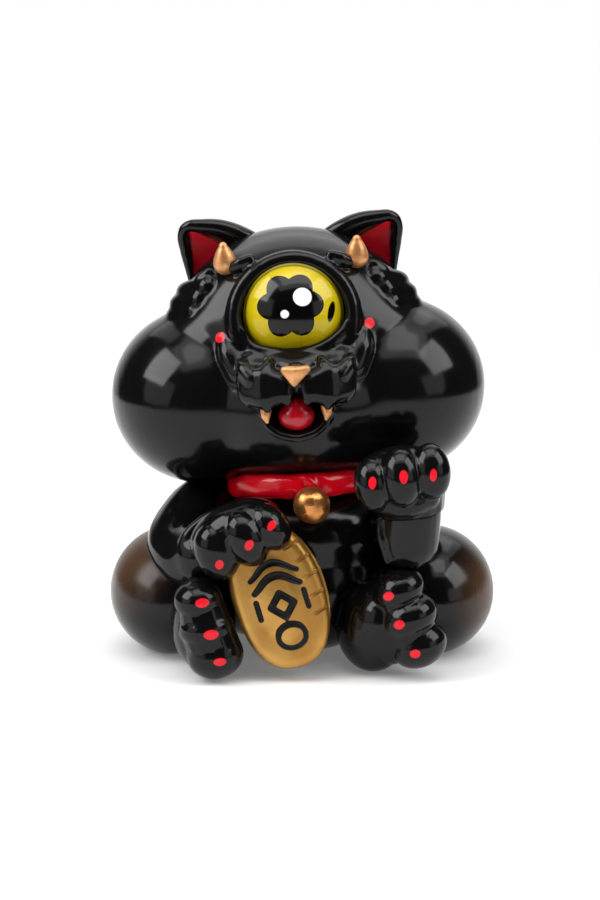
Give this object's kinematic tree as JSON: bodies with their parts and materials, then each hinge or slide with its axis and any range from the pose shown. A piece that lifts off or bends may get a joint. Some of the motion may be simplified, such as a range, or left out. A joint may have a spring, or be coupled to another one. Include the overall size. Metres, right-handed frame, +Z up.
{
  "type": "beckoning cat figurine",
  "caption": "Seated one-eyed beckoning cat figurine with puffed cheeks, small horns, a collar with a bell, a raised paw and an oval gold piece held to its chest.",
  "frame": {"origin": "on the surface it stands on, under the middle of its bounding box", "axes": "+Z up, the face looks along -Y, the cat's raised left paw is at +X"},
  "size_m": [0.1156, 0.1018, 0.131],
  "materials": {
    "black_vinyl": "gloss black soft vinyl, hips airbrushed brown",
    "red_paint": "gloss red paint",
    "yellow_eye": "clear-coated yellow paint with black edge and pupil",
    "gold_paint": "satin gold paint on vinyl",
    "copper_gold_paint": "satin copper-gold paint on vinyl"
  },
  "bodies": {
    "body": {"body_shell": "black_vinyl", "collar": "red_paint", "bell": "copper_gold_paint", "right_arm": "black_vinyl", "holding_paw": "black_vinyl", "left_arm": "black_vinyl", "right_foot": "black_vinyl", "left_foot": "black_vinyl", "tail": "black_vinyl", "coin": "gold_paint"},
    "head": {"head_shell": "black_vinyl", "eye_dome": "yellow_eye", "left_horn": "copper_gold_paint", "right_horn": "copper_gold_paint", "left_ear": "black_vinyl", "right_ear": "black_vinyl", "nose": "copper_gold_paint", "tongue": "red_paint", "left_fang": "copper_gold_paint", "right_fang": "copper_gold_paint"},
    "paw": {"raised_paw": "black_vinyl"}
  },
  "joints": [
    {"name": "head_turn", "type": "hinge", "parent": "body", "child": "head", "pos_m": [0, 0.00242, 0.056], "axis": [-0.0523, 0, 0.9986], "range_deg": [-12, 12]},
    {"name": "raised_paw_turn", "type": "hinge", "parent": "body", "child": "paw", "pos_m": [0.0306, -0.03398, 0.0474], "axis": [-0.1219, 0, 0.9925], "range_deg": [-25, 25]}
  ]
}
